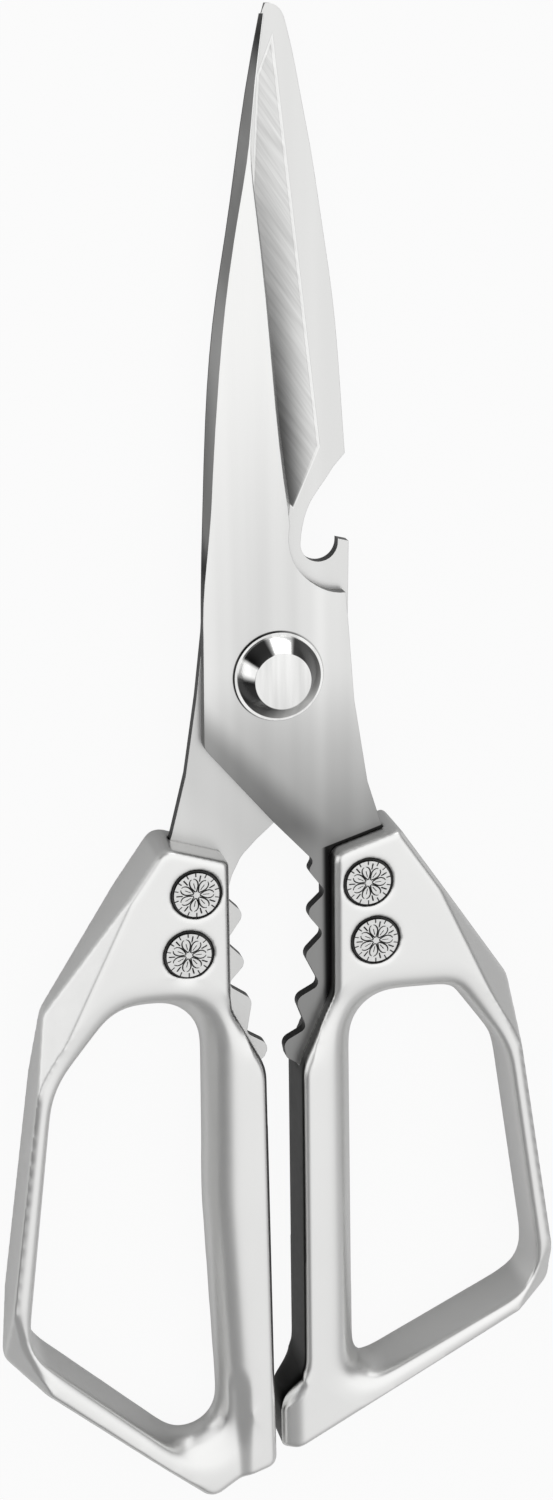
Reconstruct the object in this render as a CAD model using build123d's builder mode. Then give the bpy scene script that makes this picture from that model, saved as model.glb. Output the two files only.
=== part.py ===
from build123d import *
import math
import os

# Kitchen shears lying on their back, closed, seen along -Z.
# Origin: the pivot axis where it meets the surface that the shears lie on.
# +Y runs from the pivot to the tips, +X to the small thumb loop, +Z up out of the lettered face.

os.makedirs("parts", exist_ok=True)

# Levels and thicknesses
handle_thickness = 10.4
blade_thickness = 1.8
blade_gap = 0.1
edge_land = 0.4
hollow_depth = 0.3
hollow_slope = 0.4
overrun = 2.0

# Blades
blade_reach = 87.4
blade_half_width = 10.0
neck_reach = 6.0
opener_radius = 2.6
opener_x = 6.35
opener_y = 17.55
hook_rise = 0.4
hook_width = 1.5

# Tangs and nutcracker jaws
tang_reach = 59.0
tang_width = 16.5
tang_corner = 4.0
neck_corner = 7.0
tooth_radius = 1.4
root_radius = 1.0
neck_radius = 1.6

# Handle castings
right_span = 40.0
right_reach = 119.4
left_span = 42.2
left_reach = 125.6
slot_clearance = 0.05
sharp_corner = 0.8
soft_corner = 1.8
fine_bevel = 0.5
wall_bevel = 0.7
side_bevel = 0.9
bevel_rise = 0.9
least_corner = 0.15
facet_drop = 3.8
facet_width = 3.9
scoop_depth = 4.0
right_inner_scoop = 3.5
left_inner_scoop = 4.0
top_scoop = 2.4
slant_scoop = 1.1
limb_scoop = 0.4

# Pivot
pivot_radius = 2.5
running_fit = 0.05
head_radius = 5.75
head_top_radius = 4.0
head_height = 2.5
head_rim = 0.35
front_washer_radius = 6.15
rear_washer_radius = 5.6
washer_thickness = 0.4
nut_across_flats = 9.0
nut_sides = 6
nut_chamfer_angle = 30.0

# Rivets
rivet_head_radius = 3.4
rivet_head_height = 1.0
rivet_gap = 0.12
rivet_tube_radius = 2.0
rivet_pin_radius = 1.2
rivet_pin_end = 2.0
rivet_fit = 0.03

# Levels worked out from the sizes above
mid_level = handle_thickness / 2
front_inner = mid_level + blade_gap / 2
front_outer = front_inner + blade_thickness
back_inner = mid_level - blade_gap / 2
back_outer = back_inner - blade_thickness

# Blade stations, from the tip to the heel.
# Each row: distance from the pivot, spine, foot of the spine facet, top of the cutting bevel, cutting edge.
# Widths count from the blade's centre line toward its own spine.
front_blade_shares = [
    (0.986, 0.075, 0.062, 0.050, 0.038),
    (0.940, 0.165, 0.122, 0.108, 0.090),
    (0.880, 0.270, 0.195, 0.175, 0.152),
    (0.800, 0.390, 0.275, 0.250, 0.215),
    (0.700, 0.530, 0.435, 0.190, 0.145),
    (0.570, 0.730, 0.625, 0.080, 0.025),
    (0.430, 0.870, 0.760, -0.010, -0.070),
    (0.310, 0.935, 0.845, -0.110, -0.175),
    (0.262, 0.957, 0.875, -0.165, -0.230),
]
# Spine below those stations: distance from the pivot, spine, foot of the facet
front_spine_end_shares = [(0.155, 1.000, 0.982)]
back_blade_shares = [
    (1.000, 0.080, 0.060, 0.030, 0.010),
    (0.988, 0.220, 0.175, 0.000, -0.035),
    (0.966, 0.285, 0.215, -0.040, -0.085),
    (0.940, 0.340, 0.255, -0.085, -0.140),
    (0.880, 0.440, 0.345, -0.170, -0.230),
    (0.800, 0.570, 0.465, -0.235, -0.300),
    (0.700, 0.700, 0.590, -0.240, -0.300),
    (0.570, 0.855, 0.745, -0.205, -0.260),
    (0.430, 0.950, 0.840, -0.165, -0.220),
    (0.338, 1.000, 0.900, -0.150, -0.205),
]
# Edge below those stations: distance from the pivot, top of the bevel, cutting edge
back_edge_end_shares = [(0.262, -0.160, -0.205)]

# Heel of each blade, from the end of the cutting edge to the neck, on the side away from its spine
heel_shares = [
    (-0.190, 0.235), (-0.190, 0.195), (-0.280, 0.169), (-0.530, 0.140), (-0.690, 0.130), (-0.950, 0.125),
]
# Throat above the bottle opener, from the corner of the spine to the notch
throat_shares = [(0.840, 0.318), (0.660, 0.289), (0.500, 0.261), (0.410, 0.230)]
# Ground hollow on the inner face: corners along the rail, then back along the cutting edge
front_hollow_shares = [
    (0.360, 0.740), (0.660, 0.350), (0.290, 0.258), (-0.085, 0.300), (0.225, 0.700),
]
back_hollow_shares = [
    (0.105, 0.960), (0.665, 0.350), (0.290, 0.256), (-0.120, 0.300), (-0.215, 0.700), (-0.110, 0.900),
]

# Neck and tang corners below the blade: across in tang widths, along in tang reaches, corner radius.
# The outer side runs from the neck to the end of the tang.
front_tang_outer_shares = [
    (0.640, -0.071, neck_corner), (0.750, -0.273, tang_corner), (0.875, -0.388, tang_corner),
    (0.970, -0.490, tang_corner), (0.970, -0.720, soft_corner), (0.500, -0.755, soft_corner),
    (0.410, -0.885, soft_corner), (0.265, -1.000, sharp_corner), (0.018, -0.953, sharp_corner),
]
back_tang_outer_shares = [
    (0.665, -0.046, neck_corner), (0.772, -0.231, tang_corner), (0.902, -0.371, tang_corner),
    (1.050, -0.490, tang_corner), (1.060, -0.705, soft_corner), (0.620, -0.740, soft_corner),
    (0.540, -0.865, soft_corner), (0.400, -1.000, sharp_corner), (0.155, -0.960, sharp_corner),
]
# The nutcracker teeth run back up the inner side, tip and root by turns.
front_jaw_shares = [
    (-0.008, -0.913, tooth_radius), (0.201, -0.883, root_radius), (0.101, -0.806, tooth_radius),
    (0.324, -0.774, root_radius), (0.183, -0.693, tooth_radius), (0.361, -0.644, root_radius),
    (0.202, -0.586, tooth_radius), (0.384, -0.539, root_radius), (0.233, -0.482, sharp_corner),
    (0.279, -0.458, sharp_corner),
]
back_jaw_shares = [
    (0.102, -0.929, tooth_radius), (0.303, -0.893, root_radius), (0.248, -0.806, tooth_radius),
    (0.467, -0.763, root_radius), (0.284, -0.708, tooth_radius), (0.470, -0.653, root_radius),
    (0.302, -0.586, tooth_radius), (0.461, -0.541, root_radius),
]
# The inner side runs on from the jaw to the neck.
front_tang_inner_shares = [(-0.061, -0.353, tang_corner), (-0.633, -0.160, neck_radius)]
back_tang_inner_shares = [
    (0.402, -0.486, tang_corner), (0.321, -0.441, tang_corner), (0.188, -0.403, tang_corner),
    (0.036, -0.366, tang_corner), (-0.633, -0.160, neck_radius),
]
neck_top_shares = (0.987, 1.020)

# Rivet places on each tang
front_rivet_shares = [(0.703, -0.505), (0.764, -0.652)]
back_rivet_shares = [(0.770, -0.493), (0.848, -0.641)]

# Corner radii of the castings, in spans
crown_share = 0.055
limb_share = 0.097
toe_share = 0.130
wide_share = 0.170
sweep_share = 0.340
long_share = 1.420
soft_share = 0.044
sharp_share = 0.020
# Castings: each corner across in spans and along in reaches, its radius in spans, and the bevel of the side
# that follows. Corners run counter-clockwise for the right casting and are mirrored for the left one.
right_casting_shares = [
    (0.407, -0.188, sharp_share, fine_bevel), (0.170, -0.212, soft_share, side_bevel),
    (0.167, -0.390, wide_share, side_bevel), (0.049, -0.480, wide_share, wall_bevel),
    (0.045, -0.885, wide_share, wall_bevel), (-0.042, -0.924, sharp_share, fine_bevel),
    (-0.042, -0.989, sharp_share, fine_bevel), (0.017, -0.991, soft_share, wall_bevel),
    (1.003, -0.816, soft_share, wall_bevel), (0.996, -0.767, sweep_share, wall_bevel),
    (0.826, -0.395, limb_share, wall_bevel),
]
right_hole_shares = [
    (0.617, -0.401, soft_share), (0.245, -0.398, wide_share), (0.249, -0.915, limb_share),
    (0.941, -0.803, wide_share), (0.801, -0.486, sweep_share),
]
right_scoop_sides = [top_scoop, right_inner_scoop, limb_scoop, limb_scoop, slant_scoop]
left_casting_shares = [
    (0.404, -0.175, crown_share, fine_bevel), (0.188, -0.199, sharp_share, wall_bevel),
    (0.191, -0.373, wide_share, wall_bevel), (0.075, -0.449, wide_share, wall_bevel),
    (0.064, -0.958, soft_share, wall_bevel), (0.184, -0.971, limb_share, wall_bevel),
    (0.293, -0.995, crown_share, wall_bevel), (0.993, -0.785, soft_share, wall_bevel),
    (0.810, -0.366, limb_share, wall_bevel),
]
left_hole_shares = [
    (0.577, -0.366, wide_share), (0.277, -0.367, wide_share), (0.289, -0.614, long_share),
    (0.245, -0.977, toe_share), (0.908, -0.766, wide_share), (0.789, -0.454, sweep_share),
]
left_scoop_sides = [top_scoop, left_inner_scoop, left_inner_scoop, limb_scoop, limb_scoop, slant_scoop]
# Upper edges of the slanting facets: ends of the line on the shoulder, then on the lower corner
right_facet_shares = [[(0.532, -0.258), (0.850, -0.487)], [(0.973, -0.749), (0.848, -0.838)]]
left_facet_shares = [[(0.524, -0.244), (0.853, -0.470)], [(0.946, -0.710), (0.839, -0.826)]]
# Flared mouth of a finger hole: depth below the face, widening
scoop_shares = [(1.00, 0.000), (0.22, 0.560), (0.00, 1.000)]


def moved_sides(corners, moves):
    """Corners of the outline after each side moves outward by its own distance."""
    count = len(corners)
    area = sum(corners[i][0] * corners[(i + 1) % count][1] - corners[(i + 1) % count][0] * corners[i][1]
               for i in range(count))
    turn = 1 if area > 0 else -1
    lines = []
    for i, move in enumerate(moves):
        (x0, y0), (x1, y1) = corners[i], corners[(i + 1) % count]
        length = math.hypot(x1 - x0, y1 - y0)
        along = ((x1 - x0) / length, (y1 - y0) / length)
        out = (along[1] * turn, -along[0] * turn)
        lines.append(((x0 + out[0] * move, y0 + out[1] * move), along))
    moved = []
    for i in range(count):
        (p, u), (q, v) = lines[i - 1], lines[i]
        reach = ((q[0] - p[0]) * v[1] - (q[1] - p[1]) * v[0]) / (u[0] * v[1] - u[1] * v[0])
        moved.append((p[0] + u[0] * reach, p[1] + u[1] * reach))
    return moved


def placed(rows, across, along, side):
    """Corners of a table of shares, in millimetres, on the given side of the centre line."""
    return [(side * row[0] * across, row[1] * along) for row in rows]


def blade_outline(spine, edge, hooked, side):
    """Edges round a blade: down the spine, past the opener and the neck, and back up the cutting edge."""
    heel = placed(heel_shares, blade_half_width, blade_reach, side)
    far_neck = (-side * neck_top_shares[0] * blade_half_width, neck_reach)
    near_neck = (side * neck_top_shares[1] * blade_half_width, neck_reach)
    if not hooked:
        Spline(*spine, near_neck)
    else:
        Spline(*spine)
        throat = placed(throat_shares, blade_half_width, blade_reach, side)
        notch = (side * (opener_x - opener_radius), opener_y)
        floor = (side * opener_x, opener_y - opener_radius)
        beak = (side * (opener_x + opener_radius), opener_y)
        point = (beak[0], opener_y + hook_rise)
        back = (beak[0] + side * hook_width, opener_y)
        Line(spine[-1], throat[0])
        Spline(*throat, notch)
        ThreePointArc(notch, floor, beak)
        Line(beak, point)
        Line(point, back)
        Line(back, near_neck)
    Line(near_neck, far_neck)
    Line(far_neck, heel[-1])
    Spline(*reversed(heel))
    Line(heel[0], edge[-1])
    Spline(*reversed(edge))
    Line(edge[0], spine[0])


def blade_face(stations, spine_end, edge_end, columns, hooked, side, level):
    """Sketch of one face of a blade, through the two table columns that bound it."""
    spine_column, edge_column = columns
    spine = [(row[spine_column], row[0]) for row in stations] + spine_end
    edge = [(row[edge_column], row[0]) for row in stations] + edge_end
    with BuildSketch(Plane.XY.offset(level)) as face:
        with BuildLine():
            blade_outline(placed(spine, blade_half_width, blade_reach, side),
                          placed(edge, blade_half_width, blade_reach, side), hooked, side)
        make_face()
    return face.sketch


def rounded_face(corners, radii, level):
    """Sketch of a closed outline with rounded corners."""
    with BuildSketch(Plane.XY.offset(level)) as face:
        with BuildLine():
            FilletPolyline(*corners, radius=radii, close=True)
        make_face()
    return face.sketch


def tang_corners(rows, side):
    """Corners and corner radii of a neck and its tang, from the neck round the tang and back up the jaw."""
    top = [(side * neck_top_shares[0] * blade_half_width, neck_reach)]
    far_top = [(-side * neck_top_shares[1] * blade_half_width, neck_reach)]
    corners = top + placed(rows, tang_width, tang_reach, side) + far_top
    return corners, [0] + [row[2] for row in rows] + [0]


def slot_face(outer, side, level):
    """Sketch of a casting's slot: the tang's hidden side and end, with clearance, open above and inward."""
    hidden = placed(outer, tang_width, tang_reach, side)
    across = -side * tang_width
    far = [(across, hidden[-1][1]), (across, neck_reach), (hidden[0][0], neck_reach)]
    moves = [slot_clearance] * (len(hidden) - 1) + [0] * (len(far) + 1)
    corners = moved_sides(hidden + far, moves)
    radii = [row[2] for row in outer[:-1]] + [0] * (len(far) + 1)
    return rounded_face(corners, radii, level)


def facet_wedge(ends):
    """Wedge that takes a slanting facet off a casting, outside the line between its ends."""
    (x0, y0), (x1, y1) = ends
    length = math.hypot(x1 - x0, y1 - y0)
    out = Vector(y0 - y1, x1 - x0, 0) / length
    if out.X * x0 < 0:
        out = -out
    middle = Vector((x0 + x1) / 2, (y0 + y1) / 2, handle_thickness)
    with BuildPart() as wedge:
        with BuildSketch(Plane(origin=middle, x_dir=out, z_dir=out.cross(Vector(0, 0, 1)))):
            with BuildLine():
                Polyline((-facet_width, facet_drop), (facet_width * 2, -facet_drop * 2),
                         (facet_width * 2, facet_drop), close=True)
            make_face()
        extrude(amount=length / 2 + overrun, both=True)
    return wedge.part


def casting_section(rows, span, reach, side, level, inset):
    """Sketch of a casting's outline at a level, drawn in by a share of each side's bevel."""
    corners = placed(rows, span, reach, side)
    bevels = [row[3] * inset for row in rows]
    radii = []
    for i, row in enumerate(rows):
        (x0, y0), (x1, y1), (x2, y2) = corners[i - 1], corners[i], corners[(i + 1) % len(rows)]
        bend = side * ((x1 - x0) * (y2 - y1) - (y1 - y0) * (x2 - x1))
        drawn = min(bevels[i], bevels[i - 1])
        radii.append(max(row[2] * span - drawn, least_corner) if bend > 0 else row[2] * span + drawn)
    return rounded_face(moved_sides(corners, [-bevel for bevel in bevels]), radii, level)


def hole_section(rows, span, reach, side, level, moves):
    """Sketch of a finger hole with its sides moved outward, for the hole and for its flared mouth."""
    corners = moved_sides(placed(rows, span, reach, side), moves)
    return rounded_face(corners, [row[2] * span for row in rows], level)


def casting(rows, hole, scoops, facets, span, reach, side, tang, rivets, slot_levels):
    """Handle half from the middle plane up, mirrored, slotted for its tang and drilled for its rivets."""
    whole = casting_section(rows, span, reach, side, mid_level, 0)
    shoulder = casting_section(rows, span, reach, side, handle_thickness - bevel_rise, 0)
    face = casting_section(rows, span, reach, side, handle_thickness, 1)
    mouth = [hole_section(hole, span, reach, side, handle_thickness - scoop_depth * depth,
                          [width * wide for width in scoops]) for depth, wide in scoop_shares]
    wedges = [facet_wedge(placed(facet, span, reach, side)) for facet in facets]
    low, high = slot_levels
    with BuildPart() as body:
        extrude(whole, amount=handle_thickness - bevel_rise - mid_level)
        loft([shoulder, face], ruled=True)
        add(wedges, mode=Mode.SUBTRACT)
        extrude(hole_section(hole, span, reach, side, mid_level, [0] * len(hole)),
                amount=handle_thickness, mode=Mode.SUBTRACT)
        loft(mouth, ruled=True, mode=Mode.SUBTRACT)
        mirror(about=Plane.XY.offset(mid_level))
        extrude(slot_face(tang, side, low - slot_clearance),
                amount=high - low + slot_clearance * 2, mode=Mode.SUBTRACT)
        with Locations(*[(x, y, handle_thickness) for x, y in rivets]):
            CounterBoreHole(rivet_tube_radius + rivet_gap, rivet_head_radius + rivet_gap, rivet_head_height)
        with Locations(*[Location((x, y, 0), (180, 0, 0)) for x, y in rivets]):
            CounterBoreHole(rivet_tube_radius + rivet_gap, rivet_head_radius + rivet_gap, rivet_head_height)
    return body.part


def blade(stations, ends, hooked, side, inner_level, direction, tang, rivets, hollow):
    """Blade, neck and tang in one plate: bevelled to its outer face and hollow ground on its inner one."""
    spine_low, spine_top, edge_low, edge_top = ends
    land_level = inner_level + direction * edge_land
    outer_level = inner_level + direction * blade_thickness
    base = blade_face(stations, spine_low, edge_low, (1, 4), hooked, side, inner_level)
    low = blade_face(stations, spine_low, edge_low, (1, 4), hooked, side, land_level)
    top = blade_face(stations, spine_top, edge_top, (2, 3), hooked, side, outer_level)
    corners, radii = tang
    hollow_corners = placed(hollow, blade_half_width, blade_reach, side)
    mouth = rounded_face(hollow_corners, [0] * len(hollow), inner_level)
    floor = rounded_face(moved_sides(hollow_corners, [-hollow_slope] * len(hollow)), [0] * len(hollow),
                         inner_level + direction * hollow_depth)
    with BuildPart() as body:
        extrude(base, amount=direction * edge_land)
        loft([low, top], ruled=True)
        extrude(rounded_face(corners, radii, inner_level), amount=direction * blade_thickness)
        loft([mouth, floor], ruled=True, mode=Mode.SUBTRACT)
        with Locations((0, 0, mid_level)):
            Hole(pivot_radius + running_fit)
        with Locations(*[(x, y, mid_level) for x, y in rivets]):
            Hole(rivet_tube_radius + rivet_gap)
    return body.part


def rivet_front(place):
    """Front half of a rivet: flat head with a solid pin below it."""
    with BuildPart() as piece:
        with BuildSketch(Plane(origin=(*place, 0), x_dir=(1, 0, 0), z_dir=(0, -1, 0))):
            with BuildLine():
                Polyline((0, rivet_pin_end), (rivet_pin_radius, rivet_pin_end),
                         (rivet_pin_radius, handle_thickness - rivet_head_height),
                         (rivet_head_radius, handle_thickness - rivet_head_height),
                         (rivet_head_radius, handle_thickness), (0, handle_thickness), close=True)
            make_face()
        revolve(axis=Axis((*place, 0), (0, 0, 1)))
    return piece.part


def rivet_rear(place):
    """Rear half of a rivet: flat head with the tube that the pin is driven into."""
    bore = rivet_pin_radius + rivet_fit
    bore_end = rivet_pin_end - rivet_gap
    tube_end = handle_thickness - rivet_head_height - rivet_gap
    with BuildPart() as piece:
        with BuildSketch(Plane(origin=(*place, 0), x_dir=(1, 0, 0), z_dir=(0, -1, 0))):
            with BuildLine():
                Polyline((0, 0), (rivet_head_radius, 0), (rivet_head_radius, rivet_head_height),
                         (rivet_tube_radius, rivet_head_height), (rivet_tube_radius, tube_end),
                         (bore, tube_end), (bore, bore_end), (0, bore_end), close=True)
            make_face()
        revolve(axis=Axis((*place, 0), (0, 0, 1)))
    return piece.part


# Places of the rivets, on each tang
front_rivets = placed(front_rivet_shares, tang_width, tang_reach, 1)
back_rivets = placed(back_rivet_shares, tang_width, tang_reach, -1)

# Front blade: spine on the left, tang to the right
front_ends = ([(row[1], row[0]) for row in front_spine_end_shares],
              [(row[2], row[0]) for row in front_spine_end_shares], [], [])
front_tang = tang_corners(front_tang_outer_shares + front_jaw_shares + front_tang_inner_shares, 1)
front_blade = blade(front_blade_shares, front_ends, False, -1, front_inner, 1, front_tang, front_rivets,
                    front_hollow_shares)

# Back blade: spine and bottle opener on the right, tang to the left
back_ends = ([], [], [(row[2], row[0]) for row in back_edge_end_shares],
             [(row[1], row[0]) for row in back_edge_end_shares])
back_tang = tang_corners(back_tang_outer_shares + back_jaw_shares + back_tang_inner_shares, -1)
back_blade = blade(back_blade_shares, back_ends, True, 1, back_inner, -1, back_tang, back_rivets,
                   back_hollow_shares)

# Handle castings
right_handle = casting(right_casting_shares, right_hole_shares, right_scoop_sides, right_facet_shares,
                       right_span, right_reach, 1, front_tang_outer_shares, front_rivets,
                       (front_inner, front_outer))
left_handle = casting(left_casting_shares, left_hole_shares, left_scoop_sides, left_facet_shares,
                      left_span, left_reach, -1, back_tang_outer_shares, back_rivets,
                      (back_outer, back_inner))

# Pivot bolt: coned head on its washer, shank through both blades into the nut
front_washer_level = front_outer + running_fit
head_level = front_washer_level + washer_thickness
rear_washer_level = back_outer - running_fit - washer_thickness
with BuildPart() as pivot_bolt:
    with BuildSketch(Plane.XZ):
        with BuildLine():
            Polyline((0, 0), (pivot_radius, 0), (pivot_radius, head_level),
                     (head_radius, head_level), (head_radius, head_level + head_rim),
                     (head_top_radius, head_level + head_height), (0, head_level + head_height), close=True)
        make_face()
    revolve(axis=Axis.Z)


def washer(radius, level):
    """Flat ring round the pivot."""
    with BuildPart() as ring:
        with BuildSketch(Plane.XY.offset(level)):
            Circle(radius)
            Circle(pivot_radius + running_fit, mode=Mode.SUBTRACT)
        extrude(amount=washer_thickness)
    return ring.part


# Locknut: hexagon with its corners turned off, standing on the surface
nut_corner = nut_across_flats / 2 / math.cos(math.pi / nut_sides) + fine_bevel
nut_rise = (nut_corner - nut_across_flats / 2) * math.tan(math.radians(nut_chamfer_angle))
with BuildPart() as pivot_nut:
    with BuildSketch(Plane.XY):
        RegularPolygon(nut_across_flats / 2, nut_sides, major_radius=False)
        Circle(pivot_radius + running_fit, mode=Mode.SUBTRACT)
    extrude(amount=rear_washer_level)
    with BuildSketch(Plane.XZ):
        with BuildLine():
            Polyline((0, 0), (nut_across_flats / 2, 0), (nut_corner, nut_rise),
                     (nut_corner, rear_washer_level), (0, rear_washer_level), close=True)
        make_face()
    revolve(axis=Axis.Z, mode=Mode.INTERSECT)

pieces = {
    "front_blade": front_blade,
    "back_blade": back_blade,
    "right_handle": right_handle,
    "left_handle": left_handle,
    "pivot_bolt": pivot_bolt.part,
    "pivot_nut": pivot_nut.part,
    "front_washer": washer(front_washer_radius, front_washer_level),
    "rear_washer": washer(rear_washer_radius, rear_washer_level),
}
for hand, places in (("right", front_rivets), ("left", back_rivets)):
    for row, place in zip(("upper", "lower"), places):
        pieces[f"{hand}_{row}_rivet_front"] = rivet_front(place)
        pieces[f"{hand}_{row}_rivet_rear"] = rivet_rear(place)

for name, piece in pieces.items():
    piece.label = name
    export_step(piece, f"parts/{name}.step")
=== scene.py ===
import math

import bmesh
import bpy
from mathutils import Matrix, Vector


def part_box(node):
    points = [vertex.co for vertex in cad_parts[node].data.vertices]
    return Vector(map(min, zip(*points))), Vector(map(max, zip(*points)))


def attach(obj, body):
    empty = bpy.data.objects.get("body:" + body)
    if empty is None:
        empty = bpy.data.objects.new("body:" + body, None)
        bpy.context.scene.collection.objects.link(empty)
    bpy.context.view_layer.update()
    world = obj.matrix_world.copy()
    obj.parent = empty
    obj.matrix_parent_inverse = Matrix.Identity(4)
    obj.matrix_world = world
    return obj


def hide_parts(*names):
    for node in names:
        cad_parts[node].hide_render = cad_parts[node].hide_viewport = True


bl_info = {
    "name": "Kitchen Shears",
    "version": (1, 0, 0),
    "blender": (4, 5, 0),
    "location": "View3D > Sidebar > Shears",
    "description": "Finishes and fittings for a pair of cast-handled kitchen shears",
    "category": "Object",
}

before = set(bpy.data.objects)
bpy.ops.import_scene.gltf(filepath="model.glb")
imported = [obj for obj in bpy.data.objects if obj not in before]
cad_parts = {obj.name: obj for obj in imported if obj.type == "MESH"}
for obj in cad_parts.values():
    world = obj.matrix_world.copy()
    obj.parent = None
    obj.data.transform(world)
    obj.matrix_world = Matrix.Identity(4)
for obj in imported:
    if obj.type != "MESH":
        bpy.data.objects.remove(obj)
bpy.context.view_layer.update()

# Meshes, the camera, the lamps and the floor are in metres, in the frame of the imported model: the
# shears lie on z = 0, tips toward +Y, with the pivot's axis at x = y = 0. Other sizes and places,
# those in the finishes too, are in millimetres in the same frame.
MM = 0.001
MERGE_DISTANCE = 0.001

# Height at which the two blades meet, which is half the thickness of the castings
BLADE_LEVEL = 5.2

# Castings: how squarely the walls of the finger hole's mouth face the middle, how many rings of
# cells round them are smoothed and how often, and the depths of the forms at the lower corners,
# which grow between two shares of the way from the middle level to the face
MOUTH_FACING = 0.15
MOUTH_SPREAD = 8
MOUTH_ROUNDS = 80
CREASE_DEPTH = 0.75
TOE_FACET_DEPTH = 1.5
CORNER_SHARES = (0.55, 0.95)

# Pivot bolt
BOLT_HEAD_HEIGHT = 2.5
BOLT_HEAD_FLAT_RADIUS = 3.9
BOLT_HEAD_RIM = 0.35
BOLT_SHANK_RADIUS = 2.5
BOLT_END_CHAMFER = 0.3
BOLT_DIMPLE_RADIUS = 0.7
BOLT_DIMPLE_DEPTH = 0.35
BOLT_EDGE_ROUNDING = 0.10
BOLT_SEGMENTS = 128
SHARP_EDGE_DEGREES = 30

# Painted reflections round the cone of the bolt's head: azimuth in degrees and brightness
CONE_REFLECTIONS = (
    (-180, 0.10), (-150, 0.10), (-120, 0.35), (-85, 1.0), (-45, 0.95), (-15, 0.42), (15, 0.30),
    (45, 0.16), (68, 0.10), (74, 1.0), (106, 1.0), (112, 0.08), (146, 0.08), (153, 1.0),
    (168, 1.0), (177, 0.12),
)

# Rivets: the face of a head is a disc raised above a lower rim, and carries the rosette
RIVETS = {
    "right_upper_rivet": "front_half",
    "right_lower_rivet": "front_half",
    "left_upper_rivet": "back_half",
    "left_lower_rivet": "back_half",
}
RIVET_HEAD_HEIGHT = 1.0
RIVET_FACE_DROP = 0.02
RIVET_RIM_DROP = 0.45
RIVET_RIM_WIDTH = 0.26
RIVET_PIN_RADIUS = 1.2
RIVET_TUBE_RADIUS = 2.0
RIVET_FACE_RINGS = 44
RIVET_STEPS_PER_LEAF = 36

# Rosette: a smooth middle, then outlined leaves with a vein each, a line between two leaves, and
# short lines at the rim. A WIDTH is half a line's width, and a SHARE its part of the full depth.
ROSETTE_SMOOTH_RADIUS = 0.1
LEAF_START = 0.45
LEAF_LENGTH = 1.95
LEAF_FULLNESS = 0.86
LEAF_WIDTH = 0.11
VEIN_REACH = (0.9, 1.75)
VEIN_WIDTH = 0.07
VEIN_SHARE = 0.6
DIVIDER_REACH = (1.95, 2.80)
DIVIDER_WIDTH = 0.10
RIM_LINE_START = 2.62
RIM_LINE_PLACE = 0.45
RIM_LINE_WIDTH = 0.09
RIM_LINE_SHARE = 0.8

# Studio: half the floor's side, the camera's place, its right, up and backward directions, and
# each lamp's place, size and brightness
FLOOR_HALF_SIDE = 1.5
CAMERA_PLACE = (-0.0779804, 0.0976521, 0.3373966)
CAMERA_DIRECTIONS = (
    (0.972258, -0.015736, 0.233380),
    (0.085441, 0.952682, -0.291713),
    (-0.217747, 0.303560, 0.927598),
)
CAMERA_LENS = 41.8269
SENSOR_HEIGHT = 24.0
LAMPS = {
    "left_box": ((-0.620, 0.060, 0.150), (0.46, 0.26), 1.05),
    "top_box": ((0.150, 0.620, 0.120), (0.46, 0.24), 1.2),
}


def node_box(name):
    """Lowest and highest corner of a CAD node as vectors."""
    low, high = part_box(name)
    return Vector(low), Vector(high)


class Field:
    """A value that varies over a surface; arithmetic on it adds Math nodes."""

    def __init__(self, tree, socket):
        self.tree = tree
        self.socket = socket

    def math(self, operation, *others):
        sockets = dict(enumerate((self, *others)))
        return self.tree.node("ShaderNodeMath", {"operation": operation}, sockets)

    def __add__(self, other):
        return self.math("ADD", other)

    def __sub__(self, other):
        return self.math("SUBTRACT", other)

    def __rsub__(self, other):
        return self.tree.node("ShaderNodeMath", {"operation": "SUBTRACT"}, {0: other, 1: self})

    def __mul__(self, other):
        return self.math("MULTIPLY", other)

    def __truediv__(self, other):
        return self.math("DIVIDE", other)

    def __abs__(self):
        return self.math("ABSOLUTE")

    __radd__ = __add__
    __rmul__ = __mul__

    def ramp(self, low, high):
        """0 at low, 1 at high and a soft passage between; low may be the greater of the two."""
        if low > high:
            return 1 - self.ramp(high, low)
        return self.tree.node("ShaderNodeMapRange", {"interpolation_type": "SMOOTHSTEP"},
                              {"Value": self, "From Min": low, "From Max": high})


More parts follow.
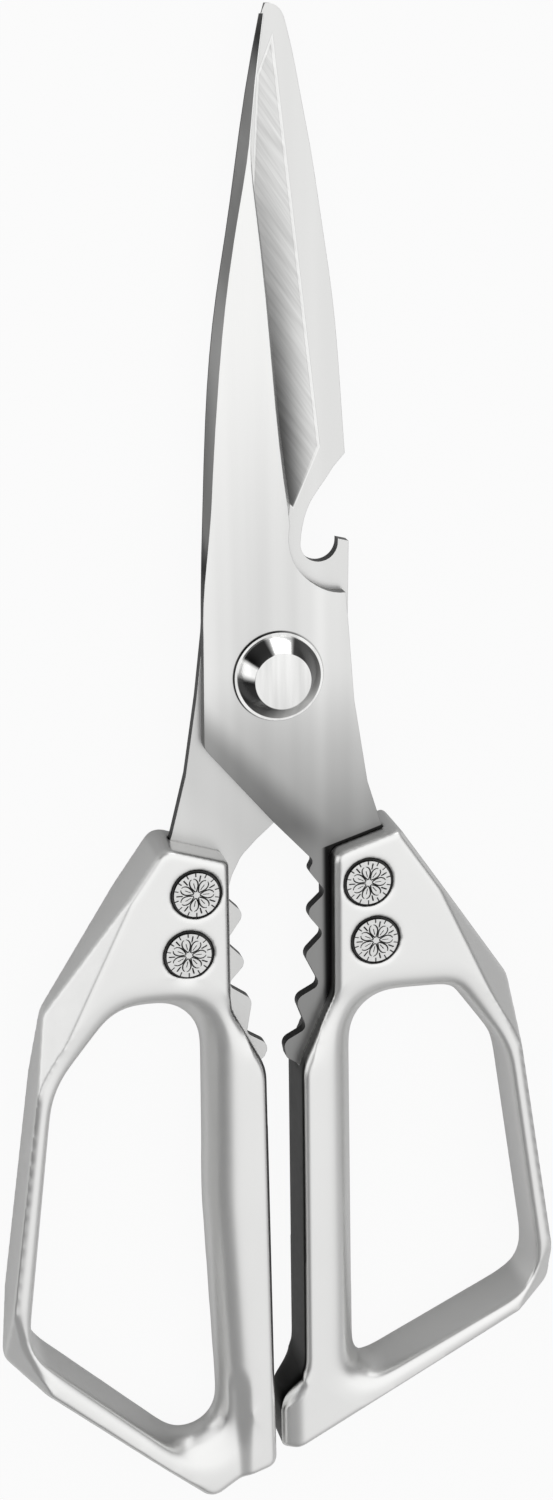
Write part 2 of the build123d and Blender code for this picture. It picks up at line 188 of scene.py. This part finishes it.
class NodeTree:
    """Nodes of one finish or of the studio's background."""

    def __init__(self, owner):
        owner.use_nodes = True
        self.nodes = owner.node_tree.nodes
        self.links = owner.node_tree.links
        self.nodes.clear()

    def node(self, kind, settings=None, sockets=None, output=0):
        """Adds a node, sets its settings, then fills its sockets with values or links."""
        made = self.nodes.new(kind)
        for key, value in (settings or {}).items():
            if key == "stops":
                ramp = made.color_ramp
                while len(ramp.elements) < len(value):
                    ramp.elements.new(1.0)
                for element, (position, tone) in zip(ramp.elements, value):
                    element.position = position
                    element.color = (tone, tone, tone, 1.0)
            else:
                setattr(made, key, value)
        for key, value in (sockets or {}).items():
            if isinstance(value, Field):
                self.links.new(value.socket, made.inputs[key])
            else:
                made.inputs[key].default_value = value
        return Field(self, made.outputs[output]) if made.outputs else None

    def place(self):
        """Object coordinates in millimetres."""
        metres = self.node("ShaderNodeTexCoord", output="Object")
        return self.node("ShaderNodeVectorMath", {"operation": "SCALE"},
                         {0: metres, "Scale": 1 / MM})

    def axes(self, vector):
        """The three parts of a vector."""
        first = self.node("ShaderNodeSeparateXYZ", sockets={0: vector})
        return [Field(self, part) for part in first.socket.node.outputs]

    def noise(self, place, stretch, detail, turn=(0, 0, 0)):
        """Cloudy pattern, turned, with about stretch clouds to a millimetre along each axis."""
        turned = self.node("ShaderNodeVectorRotate", {"rotation_type": "EULER_XYZ"},
                           {"Vector": place, "Rotation": turn})
        mapped = self.node("ShaderNodeVectorMath", {"operation": "MULTIPLY"},
                           {0: turned, 1: stretch})
        return self.node("ShaderNodeTexNoise",
                         sockets={"Vector": mapped, "Scale": 1.0, "Detail": detail})

    def grey(self, value, tint=(1.0, 1.0, 1.0)):
        """Colour from a brightness."""
        return self.node("ShaderNodeCombineColor", sockets={i: value * tint[i] for i in range(3)})

    def seen_and_mirrored(self):
        """1 for what the camera sees itself, and 1 for what it sees in metal or through glass."""
        seen = self.node("ShaderNodeLightPath", output="Is Camera Ray")
        mirrored = (self.node("ShaderNodeLightPath", output="Is Glossy Ray")
                    + self.node("ShaderNodeLightPath", output="Is Transmission Ray"))
        return seen, mirrored


def metal(name, brightness, roughness, height, height_mm, edge_mm=0.0, level=None, anisotropy=0.0):
    """Metal whose brightness, roughness and surface height are functions of the tree and place.

    edge_mm rounds the edges, and level is 1 where the surface is lit as if it lay flat.
    """
    material = bpy.data.materials.new(name)
    tree = NodeTree(material)
    place = tree.place()
    relief = {"Height": height(tree, place), "Strength": 1.0, "Distance": height_mm * MM}
    if edge_mm:
        relief["Normal"] = tree.node("ShaderNodeBevel", {"samples": 6}, {"Radius": edge_mm * MM})
    if level:
        relief["Normal"] = tree.node("ShaderNodeMix", {"data_type": "VECTOR"}, {
            0: level(tree, place), 4: relief["Normal"], 5: (0.0, 0.0, 1.0)}, output=1)
    bump = tree.node("ShaderNodeBump", sockets=relief)
    surface = tree.node("ShaderNodeBsdfPrincipled", sockets={
        "Base Color": tree.grey(brightness(tree, place), tint=(1.0, 1.0, 0.99)),
        "Metallic": 1.0,
        "Roughness": roughness(tree, place),
        "Anisotropic": anisotropy,
        "Normal": bump,
    })
    tree.node("ShaderNodeOutputMaterial", sockets={"Surface": surface})
    return material


def dimmed(mask, share):
    """1 outside a mask, and less by a share inside it."""
    return 1 - mask * share


def object_normal(tree):
    """The three parts of the surface direction, which turn with the piece."""
    return tree.axes(tree.node("ShaderNodeTexCoord", output="Normal"))


def from_pivot(x, y):
    """Distance from the pivot's axis."""
    return (x * x + y * y).math("SQRT")


def across_neck(x, y):
    """Place square to the slanting edge of the front neck, where it crosses the back tang."""
    return x * 0.74 + y * 0.67


def dark_wall_shade(nz):
    """Painted shade that makes a plate's upright walls nearly black."""
    return dimmed(abs(nz).ramp(0.45, 0.20), 0.97)


def lengthwise_bands(tree, place):
    """Soft light and dark bands that run along a blade."""
    return tree.noise(place, (0.28, 0.006, 0.05), 1.0)


def brushing(tree, place):
    """Fine ground lines along a blade."""
    return tree.noise(place, (9.0, 0.12, 1.5), 3.0)


def front_painted_shade(tree, place):
    """Painted shade: darker neck, spine facet and walls, and painted shadow lines at the finger
    loop and the washer.
    """
    x, y, _z = tree.axes(place)
    nx, _ny, nz = object_normal(tree)
    # Painted shade: the face darker toward the pivot and darkest down the neck
    neck = (dimmed(y.ramp(50.0, 5.0), 0.16) * dimmed(y.ramp(2.0, -12.0), 0.30)
            * dimmed(y.ramp(-8.0, -27.0), 0.48))
    # Painted shade beside the slanting edge of the neck
    corner = dimmed(across_neck(x, y).ramp(-9.0, -13.0) * y.ramp(-27.0, -21.0), 0.45)
    # Painted shade on the spine facet, uneven along it and darker toward the neck
    spine_facet = nx.ramp(-0.30, -0.55) * nz.ramp(0.1, 0.3)
    ripple = (tree.noise(place, (0.3, 0.045, 0.1), 1.0) - 0.5) * 0.45
    facet = dimmed(spine_facet, 0.64 + ripple + y.ramp(20.0, 5.0) * 0.32)
    # Painted shadow on the blade where it goes into the smaller finger loop
    above_loop = y * 0.956 - x * 0.292 + 26.2
    loop_shadow = dimmed(above_loop.ramp(0.42, 0.28) * x.ramp(5.6, 6.4), 0.92)
    # Painted shadow ring on the blade round the washer, deeper on its left side
    radius = from_pivot(x, y)
    washer_line = radius.ramp(6.10, 6.16) * radius.ramp(6.40, 6.26)
    washer_shadow = dimmed(washer_line, 0.35 + (x - y * 0.5).ramp(2.0, -4.0) * 0.6)
    return neck * corner * facet.math("MAXIMUM", 0.03) * dark_wall_shade(nz) * loop_shadow * washer_shadow


def front_blade_finish():
    """Satin ground steel whose lengthwise bands grow stronger toward the pivot."""

    def brightness(tree, place):
        _x, y, _z = tree.axes(place)
        bands = (lengthwise_bands(tree, place) - 0.5) * (0.10 + y.ramp(45.0, 5.0) * 0.34)
        lines = (brushing(tree, place) - 0.5) * 0.03
        # The bands and lines are darkened by the painted shade
        return (0.97 + bands + lines) * front_painted_shade(tree, place)

    def roughness(tree, place):
        wear = tree.noise(place, (0.12, 0.05, 0.1), 3.0)
        return 0.26 + brushing(tree, place) * 0.08 + wear * 0.06

    return metal("front_blade_satin", brightness, roughness, brushing, height_mm=0.004,
                 edge_mm=0.10, anisotropy=0.3)


def inner_hollow(tree, place):
    """1 in the ground hollow of the back blade's inner face, which is 0.3 deep from z = 5.15."""
    _x, y, z = tree.axes(place)
    return z.ramp(5.10, 4.95) * z.ramp(4.0, 4.7) * y.ramp(20.0, 21.0)


def hollow_border(tree, place):
    """1 on the narrow slope round the hollow."""
    _x, y, z = tree.axes(place)
    return z.ramp(5.14, 5.12) * z.ramp(4.86, 4.88) * y.ramp(20.0, 21.0)


def back_painted_shade(tree, place):
    """Painted shade in the hollow beside the front blade's edge and on the tang beside the front
    neck, the tang a little darker toward its end, and dark walls.
    """
    x, y, _z = tree.axes(place)
    _nx, _ny, nz = object_normal(tree)
    # Painted shade in the hollow beside the front blade's cutting edge
    from_edge = x + y * 0.0947 - 4.48
    shade_beside_edge = from_edge.ramp(4.9, -0.3) * y.ramp(86.0, 30.0) * inner_hollow(tree, place)
    # Painted shadow on the back tang beside the front neck
    shade_beside_neck = across_neck(x, y).ramp(-26.0, -18.0) * y.ramp(4.0, -6.0)
    tang = dimmed(y.ramp(-14.0, -34.0), 0.08) - shade_beside_neck * 0.14
    return dimmed(shade_beside_edge, 0.90) * tang * dark_wall_shade(nz)


def wheel_marks(tree, place):
    """Oblique marks of the hollow grinding."""
    fine = tree.noise(place, (0.10, 3.2, 1.0), 3.0, turn=(0, 0, math.radians(56)))
    coarse = tree.noise(place, (0.05, 1.1, 1.0), 1.0, turn=(0, 0, math.radians(50)))
    return fine * 0.55 + coarse * 0.45


def back_blade_finish():
    """Satin steel with wheel marks in the hollow and a painted highlight along the hollow's border.
    """

    def brightness(tree, place):
        hollow = inner_hollow(tree, place)
        bands = (lengthwise_bands(tree, place) - 0.5) * 0.10
        marks = (wheel_marks(tree, place) - 0.5) * hollow
        # The border of the hollow carries a painted highlight, and the whole blade the painted
        # shade
        plain = 0.80 + bands - hollow * 0.05 + hollow_border(tree, place) * 0.14
        return (plain + marks * 0.60) * back_painted_shade(tree, place)

    def roughness(tree, place):
        return 0.27 + brushing(tree, place) * 0.08

    def height(tree, place):
        hollow = inner_hollow(tree, place)
        return brushing(tree, place) * (1 - hollow) + wheel_marks(tree, place) * hollow * 2.0

    return metal("back_blade_satin", brightness, roughness, height, height_mm=0.004,
                 edge_mm=0.10, level=hollow_border)


def casting_finish(gap_shade_share):
    """Tumbled pearl satin of a cast loop with painted shade on its walls; gap_shade_share sets the
    painted shade on the walls that face the other loop.
    """

    def brightness(tree, place):
        x, y, _z = tree.axes(place)
        nx, ny, nz = object_normal(tree)
        cloud = (tree.noise(place, (0.06, 0.05, 0.06), 2.0) - 0.5) * 0.05
        # Painted shade: walls a little darker than the faces, walls facing the tips darker, and by
        # gap_shade_share the walls facing the other loop, at the middle and at the toe
        cast_wall_shade = abs(nz).ramp(0.70, 0.10)
        inner_wall_shade = x.ramp(7.6, 7.2) * nx.ramp(-0.80, -0.95) * gap_shade_share
        toe_wall_shade = (y.ramp(-100.0, -103.0) * nx.ramp(-0.25, -0.55) * abs(nz).ramp(0.5, 0.3)
                    * x.ramp(3.0, 2.0) * gap_shade_share)
        top_wall_shade = ny.ramp(0.45, 0.75) * abs(nz).ramp(0.75, 0.55)
        return ((0.93 + cloud) * dimmed(cast_wall_shade, 0.08)
                * (1 - inner_wall_shade.math("MAXIMUM", toe_wall_shade)) * dimmed(top_wall_shade, 0.26))

    def roughness(tree, place):
        return 0.28 + tree.noise(place, (0.5, 0.5, 0.5), 4.0) * 0.06

    def height(tree, place):
        grain = tree.noise(place, (4.5, 4.5, 4.5), 3.0)
        peel = tree.noise(place, (0.45, 0.45, 0.45), 1.0)
        return grain * 0.08 + peel * 0.6

    return metal("cast_satin", brightness, roughness, height, height_mm=0.005)


def chrome_finish():
    """Polished plating with faint turning marks, painted reflection streaks, and slopes painted
    light and dark by turns as reflections.
    """

    def brightness(tree, place):
        nx, ny, nz = object_normal(tree)
        turn = ny.math("ARCTAN2", nx) / math.tau + 0.5
        stops = [(degrees / 360 + 0.5, tone) for degrees, tone in CONE_REFLECTIONS]
        # Painted reflections by the way the surface faces
        cone_reflection = tree.node("ShaderNodeValToRGB", {"stops": stops}, {"Fac": turn})
        slope = abs(nz).ramp(0.97, 0.85)
        reflection_streaks = (tree.noise(place, (0.55, 0.04, 0.1), 2.0) - 0.5) * 0.7
        return (0.88 + reflection_streaks).math("MINIMUM", 0.97) * dimmed(slope, 1 - cone_reflection)

    def roughness(tree, place):
        return 0.10 + tree.noise(place, (2.5, 2.5, 2.5), 3.0) * 0.06

    def height(tree, place):
        x, y, _z = tree.axes(place)
        return (from_pivot(x, y) * 40.0).math("SINE")

    return metal("pivot_polish", brightness, roughness, height, height_mm=0.0004, edge_mm=0.05)


def rosette_finish():
    """Satin rivet head with painted shade in its recesses."""

    def brightness(tree, place):
        _x, _y, z = tree.axes(place)
        # Painted shade in the pressed lines and the lower rim
        recess_shade = abs(z - BLADE_LEVEL).ramp(5.19, 5.09)
        grain = (tree.noise(place, (3.0, 3.0, 3.0), 3.0) - 0.5) * 0.25
        return (0.84 + grain) * dimmed(recess_shade, 0.93)

    def roughness(tree, place):
        return 0.28 + tree.noise(place, (4.0, 4.0, 4.0), 3.0) * 0.15

    def height(tree, place):
        return tree.noise(place, (6.0, 6.0, 6.0), 3.0)

    return metal("rosette_satin", brightness, roughness, height, height_mm=0.012)


def dress(name, material):
    """Gives a CAD node its finish."""
    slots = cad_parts[name].data.materials
    slots.clear()
    slots.append(material)


def merge_doubles(shape):
    """Joins vertices that lie on each other."""
    bmesh.ops.remove_doubles(shape, verts=shape.verts, dist=MERGE_DISTANCE * MM)


def finish_mesh(shape, name, material, body, smooth_degrees):
    """Turns a bmesh into a smooth piece that rides on its body."""
    merge_doubles(shape)
    bmesh.ops.recalc_face_normals(shape, faces=shape.faces)
    mesh = bpy.data.meshes.new(name)
    shape.to_mesh(mesh)
    shape.free()
    mesh.materials.append(material)
    mesh.shade_smooth()
    mesh.set_sharp_from_angle(angle=math.radians(smooth_degrees))
    piece = bpy.data.objects.new(name, mesh)
    bpy.context.scene.collection.objects.link(piece)
    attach(piece, body)
    return piece


def passage(value, low, high):
    """0 below low, 1 above high and a soft rise between."""
    share = min(max((value - low) / (high - low), 0.0), 1.0)
    return share * share * (3 - 2 * share)


def toe_drop(node, x, y):
    """How far a casting's face falls at a place near its lower corner.

    The larger loop has a crease that fades outward, and the smaller loop a broad facet.
    """
    if node == "left_handle":
        crease = passage(-x, 6.2, 8.8) * (1 - passage(-x, 9.5, 22.0))
        return CREASE_DEPTH * crease * passage(-y, 103.0, 108.0)
    return TOE_FACET_DEPTH * passage(-x, -1.9, 2.6) * passage(-y, 105.5, 108.5)


def evenly_meshed(node, grain):
    """Mesh of a CAD node rebuilt in cells of one size."""
    shape = bmesh.new()
    shape.from_mesh(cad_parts[node].data)
    merge_doubles(shape)
    mesh = bpy.data.meshes.new(f"{node}_copy")
    shape.to_mesh(mesh)
    shape.free()
    rough = bpy.data.objects.new(f"{node}_copy", mesh)
    bpy.context.scene.collection.objects.link(rough)
    remesh = rough.modifiers.new("grain", "REMESH")
    remesh.mode = "VOXEL"
    remesh.voxel_size = grain
    graph = bpy.context.evaluated_depsgraph_get()
    even = bpy.data.meshes.new_from_object(rough.evaluated_get(graph))
    bpy.data.objects.remove(rough)
    return even


def smoothed(shape, verts, rounds):
    """Evens out vertices of a bmesh, round after round."""
    for _ in range(rounds):
        bmesh.ops.smooth_vert(shape, verts=verts, factor=0.5,
                              use_axis_x=True, use_axis_y=True, use_axis_z=True)


def finger_hole_mouth(shape, centre, top_y):
    """Vertices of the finger hole's walls and of the faces near them."""
    mouth = set()
    for vert in shape.verts:
        inward = (centre - vert.co).to_2d().normalized()
        if inward.dot(vert.normal.to_2d()) > MOUTH_FACING and vert.co.y < top_y:
            mouth.add(vert)
    for _ in range(MOUTH_SPREAD):
        mouth |= {edge.other_vert(vert) for vert in mouth for edge in vert.link_edges}
    return list(mouth)


def softened_casting(node, grain, rounds):
    """Copy of a cast loop with the soft edges of a tumbled casting, softest at the mouth."""
    even = evenly_meshed(node, grain)
    low, high = node_box(node)
    centre = (low + high) / 2
    rivet_low, _rivet_high = node_box(node.replace("handle", "lower_rivet_front"))
    shape = bmesh.new()
    shape.from_mesh(even)
    smoothed(shape, shape.verts, rounds)
    shape.normal_update()
    mouth = finger_hole_mouth(shape, centre, rivet_low.y - MM)
    smoothed(shape, mouth, MOUTH_ROUNDS)
    for vert in shape.verts:
        from_middle = abs(vert.co.z - centre.z) / (high.z - centre.z)
        near_face = passage(from_middle, *CORNER_SHARES)
        drop = toe_drop(node, vert.co.x / MM, vert.co.y / MM) * near_face * MM
        vert.co.z -= math.copysign(drop, vert.co.z - centre.z)
    shape.to_mesh(even)
    shape.free()
    even.name = f"{node}_soft"
    even.shade_smooth()
    piece = bpy.data.objects.new(f"{node}_soft", even)
    bpy.context.scene.collection.objects.link(piece)
    return piece


def turned(shape, profile, centre, segments):
    """Spins a profile of (radius, height) points, in metres, round an upright axis."""
    points = [shape.verts.new((centre.x + radius, centre.y, height)) for radius, height in profile]
    lines = [shape.edges.new(pair) for pair in zip(points, points[1:])]
    bmesh.ops.spin(shape, geom=points + lines, cent=(centre.x, centre.y, 0), axis=(0, 0, 1),
                   angle=math.tau, steps=segments, use_merge=True)


def pressed_line(distance, half_width):
    """Depth of a pressed line, 1 in its middle and 0 at its sides."""
    return max(0.0, 1 - abs(distance) / half_width)


def rosette_depth_share(radius, angle, leaves):
    """How deep a rivet head is pressed at a radius and an angle, as a share of the full depth."""
    sector = math.pi / leaves
    off_axis = abs((angle + sector) % (2 * sector) - sector)
    shares = [0.0]
    along = (radius - LEAF_START) / LEAF_LENGTH
    if 0 <= along <= 1:
        leaf_edge = LEAF_FULLNESS * sector * math.sin(math.pi * along ** 0.8) ** 0.5
        shares.append(pressed_line((off_axis - leaf_edge) * radius, LEAF_WIDTH))
    if VEIN_REACH[0] < radius < VEIN_REACH[1]:
        shares.append(VEIN_SHARE * pressed_line(off_axis * radius, VEIN_WIDTH))
    if DIVIDER_REACH[0] < radius < DIVIDER_REACH[1]:
        shares.append(pressed_line((sector - off_axis) * radius, DIVIDER_WIDTH))
    if radius > RIM_LINE_START:
        off_line = off_axis - RIM_LINE_PLACE * sector
        shares.append(RIM_LINE_SHARE * pressed_line(off_line * radius, RIM_LINE_WIDTH))
    return max(shares)


def rivet_half(node, facing, look):
    """One half of a rivet, whose head faces up or down, with the rosette pressed into it."""
    low, high = node_box(node)
    centre = (low + high) / 2
    radius = (high.x - low.x) / 2
    top, shank_end = (high.z, low.z) if facing > 0 else (low.z, high.z)
    shank = (RIVET_PIN_RADIUS if facing > 0 else RIVET_TUBE_RADIUS) * MM
    under = top - facing * RIVET_HEAD_HEIGHT * MM
    rim_level = top - facing * RIVET_RIM_DROP * MM
    face_level = top - facing * RIVET_FACE_DROP * MM
    disc = radius - RIVET_RIM_WIDTH * MM
    face = [(disc * ring / RIVET_FACE_RINGS, face_level) for ring in range(RIVET_FACE_RINGS + 1)]
    body = [(disc, rim_level), (radius, rim_level), (radius, under), (shank, under),
            (shank, shank_end), (0, shank_end)]
    shape = bmesh.new()
    turned(shape, face + body, centre, RIVET_STEPS_PER_LEAF * look.leaf_count)
    for vert in shape.verts:
        reach = (vert.co - centre).to_2d()
        on_face = abs(vert.co.z - face_level) < MERGE_DISTANCE * MM
        if on_face and reach.length > ROSETTE_SMOOTH_RADIUS * MM:
            angle = math.atan2(reach.y, reach.x)
            share = rosette_depth_share(reach.length / MM, angle, look.leaf_count)
            vert.co.z -= facing * look.rosette_depth * share
    return shape


def studio_background(scene, level):
    """Soft overhead light that falls off toward the horizon; the camera sees white instead."""
    world = bpy.data.worlds.new("soft_studio")
    scene.world = world
    tree = NodeTree(world)
    right, up, above = tree.axes(tree.node("ShaderNodeTexCoord", output="Generated"))
    horizon = (0.03 + right.ramp(-0.2, 0.5) * 0.22 + up.ramp(-0.20, -0.46) * 0.25
               + up.ramp(0.4, 0.9) * 0.36)
    near_left = right.ramp(-0.05, -0.5) * up.ramp(-0.10, -0.45)
    lift = right.ramp(-0.2, 0.5) * 0.06 + up.ramp(0.0, 0.5) * 0.20 - near_left * 0.26
    overhead = (above + lift).ramp(0.42, 0.84) * level
    fall = dimmed(up.ramp(0.0, -0.6), 0.2)
    glow = horizon + overhead * (fall - horizon)
    seen, mirrored = tree.seen_and_mirrored()
    white = seen + mirrored * above.ramp(0.90, 0.99) * 0.4
    shown = glow + white.math("MINIMUM", 1.0) * (1 - glow)
    light = tree.node("ShaderNodeBackground", sockets={"Color": tree.grey(shown), "Strength": 1.0})
    tree.node("ShaderNodeOutputWorld", sockets={"Surface": light})


def studio_floor(scene, tone):
    """Plain floor, near white to the camera, that keeps the object's shadow."""
    shape = bmesh.new()
    bmesh.ops.create_grid(shape, x_segments=1, y_segments=1, size=FLOOR_HALF_SIDE)
    mesh = bpy.data.meshes.new("floor")
    shape.to_mesh(mesh)
    shape.free()
    floor = bpy.data.objects.new("floor", mesh)
    scene.collection.objects.link(floor)
    paint = bpy.data.materials.new("floor_paint")
    tree = NodeTree(paint)
    seen, mirrored = tree.seen_and_mirrored()
    plain = tree.node("ShaderNodeBsdfDiffuse", sockets={"Color": (tone, tone, tone, 1.0)})
    white = tree.node("ShaderNodeEmission",
                      sockets={"Color": (1.0, 1.0, 1.0, 1.0), "Strength": 1.0})
    both = tree.node("ShaderNodeMixShader",
                     sockets={"Fac": seen * 0.93 + mirrored * 0.10, 1: plain, 2: white})
    tree.node("ShaderNodeOutputMaterial", sockets={"Surface": both})
    mesh.materials.append(paint)


def studio_lamps(scene):
    """Soft boxes that face the pivot."""
    for name, (place, size, level) in LAMPS.items():
        lamp = bpy.data.lights.new(name, "AREA")
        lamp.shape = "RECTANGLE"
        lamp.size, lamp.size_y = size
        lamp.energy = level * math.pi * size[0] * size[1]
        holder = bpy.data.objects.new(name, lamp)
        scene.collection.objects.link(holder)
        holder.location = place
        holder.rotation_euler = Vector(place).to_track_quat("Z", "Y").to_euler()


def studio_camera(scene):
    """Camera high over the tips, a little to the left, aimed close to the pivot."""
    eye = bpy.data.cameras.new("camera")
    eye.sensor_fit = "VERTICAL"
    eye.sensor_height = SENSOR_HEIGHT
    eye.lens = CAMERA_LENS
    eye.clip_start = 0.01
    camera = bpy.data.objects.new("camera", eye)
    scene.collection.objects.link(camera)
    turn = Matrix(CAMERA_DIRECTIONS).transposed().to_4x4()
    camera.matrix_world = Matrix.Translation(CAMERA_PLACE) @ turn
    scene.camera = camera


class ShearsLook(bpy.types.PropertyGroup):
    """Sizes and levels that a user may change."""
    leaf_count: bpy.props.IntProperty(
        name="Rosette leaves", description="Leaves pressed into each rivet head",
        default=7, min=5, max=16)
    rosette_depth: bpy.props.FloatProperty(
        name="Rosette depth", description="Depth of the pressed pattern", default=0.16 * MM,
        subtype="DISTANCE", unit="LENGTH")
    casting_grain: bpy.props.FloatProperty(
        name="Casting grain", description="Cell size of the softened castings", default=0.31 * MM,
        subtype="DISTANCE", unit="LENGTH")
    casting_rounds: bpy.props.IntProperty(
        name="Casting softness", description="Rounds of smoothing of the castings",
        default=3, min=0, max=12)
    floor_tone: bpy.props.FloatProperty(
        name="Floor tone", description="Brightness of the floor",
        default=0.62, min=0.0, max=1.0, subtype="FACTOR")
    studio_level: bpy.props.FloatProperty(
        name="Studio level", description="Brightness of the overhead light", default=1.0, min=0.0)


class SHEARS_OT_stage(bpy.types.Operator):
    """Adds the floor, the soft studio light and the camera"""
    bl_idname = "shears.stage"
    bl_label = "Stage"

    def execute(self, context):
        scene = context.scene
        scene.view_settings.view_transform = "Standard"
        studio_background(scene, scene.shears_look.studio_level)
        studio_floor(scene, scene.shears_look.floor_tone)
        studio_lamps(scene)
        studio_camera(scene)
        return {"FINISHED"}


class SHEARS_OT_blades(bpy.types.Operator):
    """Gives the two blades their ground and brushed finishes"""
    bl_idname = "shears.blades"
    bl_label = "Blades"

    def execute(self, context):
        dress("front_blade", front_blade_finish())
        dress("back_blade", back_blade_finish())
        return {"FINISHED"}


class SHEARS_OT_castings(bpy.types.Operator):
    """Gives the two cast finger loops their soft edges and tumbled satin"""
    bl_idname = "shears.castings"
    bl_label = "Finger loops"

    def execute(self, context):
        look = context.scene.shears_look
        # Each loop: CAD node, body, and its share of painted shade on the walls facing the other
        # loop
        loops = (("right_handle", "front_half", 0.96), ("left_handle", "back_half", 0.0))
        for node, body, gap_shade_share in loops:
            piece = softened_casting(node, look.casting_grain, look.casting_rounds)
            piece.data.materials.append(casting_finish(gap_shade_share))
            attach(piece, body)
            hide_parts(node)
        return {"FINISHED"}


class SHEARS_OT_pivot(bpy.types.Operator):
    """Adds the polished bolt with its rounded edges and finishes the nut and the washers"""
    bl_idname = "shears.pivot"
    bl_label = "Pivot"

    def execute(self, context):
        polish = chrome_finish()
        for name in ("pivot_nut", "front_washer", "rear_washer"):
            dress(name, polish)
        low, high = node_box("pivot_bolt")
        centre = (low + high) / 2
        head_radius = (high.x - low.x) / 2
        shank_radius = BOLT_SHANK_RADIUS * MM
        chamfer = BOLT_END_CHAMFER * MM
        head_under = high.z - BOLT_HEAD_HEIGHT * MM
        cone_foot = head_under + BOLT_HEAD_RIM * MM
        shape = bmesh.new()
        turned(shape, [
            (0, high.z), (BOLT_HEAD_FLAT_RADIUS * MM, high.z), (head_radius, cone_foot),
            (head_radius, head_under), (shank_radius, head_under),
            (shank_radius, low.z + chamfer), (shank_radius - chamfer, low.z),
            (BOLT_DIMPLE_RADIUS * MM, low.z), (0, low.z + BOLT_DIMPLE_DEPTH * MM),
        ], centre, BOLT_SEGMENTS)
        merge_doubles(shape)
        sharp = math.radians(SHARP_EDGE_DEGREES)
        rims = [edge for edge in shape.edges if edge.is_manifold and edge.calc_face_angle() > sharp]
        bmesh.ops.bevel(shape, geom=rims, offset=BOLT_EDGE_ROUNDING * MM, offset_type="OFFSET",
                        segments=3, profile=0.5, affect="EDGES", clamp_overlap=True,
                        loop_slide=True, material=-1)
        piece = finish_mesh(shape, "pivot_bolt_polished", polish, "back_half",
                            smooth_degrees=25)
        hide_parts("pivot_bolt")
        return {"FINISHED"}


class SHEARS_OT_rivets(bpy.types.Operator):
    """Adds the rivet halves with a rosette pressed into each head"""
    bl_idname = "shears.rivets"
    bl_label = "Rivets"

    def execute(self, context):
        satin = rosette_finish()
        for rivet, body in RIVETS.items():
            for half, facing in (("front", 1), ("rear", -1)):
                node = f"{rivet}_{half}"
                shape = rivet_half(node, facing, context.scene.shears_look)
                piece = finish_mesh(shape, f"{node}_rosette", satin, body,
                                    smooth_degrees=35)
                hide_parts(node)
        return {"FINISHED"}


OPERATORS = (
    SHEARS_OT_stage,
    SHEARS_OT_blades,
    SHEARS_OT_castings,
    SHEARS_OT_pivot,
    SHEARS_OT_rivets,
)


class SHEARS_PT_panel(bpy.types.Panel):
    """Lists the pieces and their sizes"""
    bl_idname = "SHEARS_PT_panel"
    bl_label = "Kitchen Shears"
    bl_space_type = "VIEW_3D"
    bl_region_type = "UI"
    bl_category = "Shears"

    def draw(self, context):
        look = context.scene.shears_look
        for name in ShearsLook.__annotations__:
            self.layout.prop(look, name)
        for operator in OPERATORS:
            self.layout.operator(operator.bl_idname)


CLASSES = (ShearsLook, *OPERATORS, SHEARS_PT_panel)


def register():
    for cls in CLASSES:
        bpy.utils.register_class(cls)
    bpy.types.Scene.shears_look = bpy.props.PointerProperty(type=ShearsLook)


def unregister():
    del bpy.types.Scene.shears_look
    for cls in reversed(CLASSES):
        bpy.utils.unregister_class(cls)


def main():
    register()
    bpy.ops.shears.stage()
    bpy.ops.shears.blades()
    bpy.ops.shears.castings()
    bpy.ops.shears.pivot()
    bpy.ops.shears.rivets()


if __name__ == "__main__":
    main()
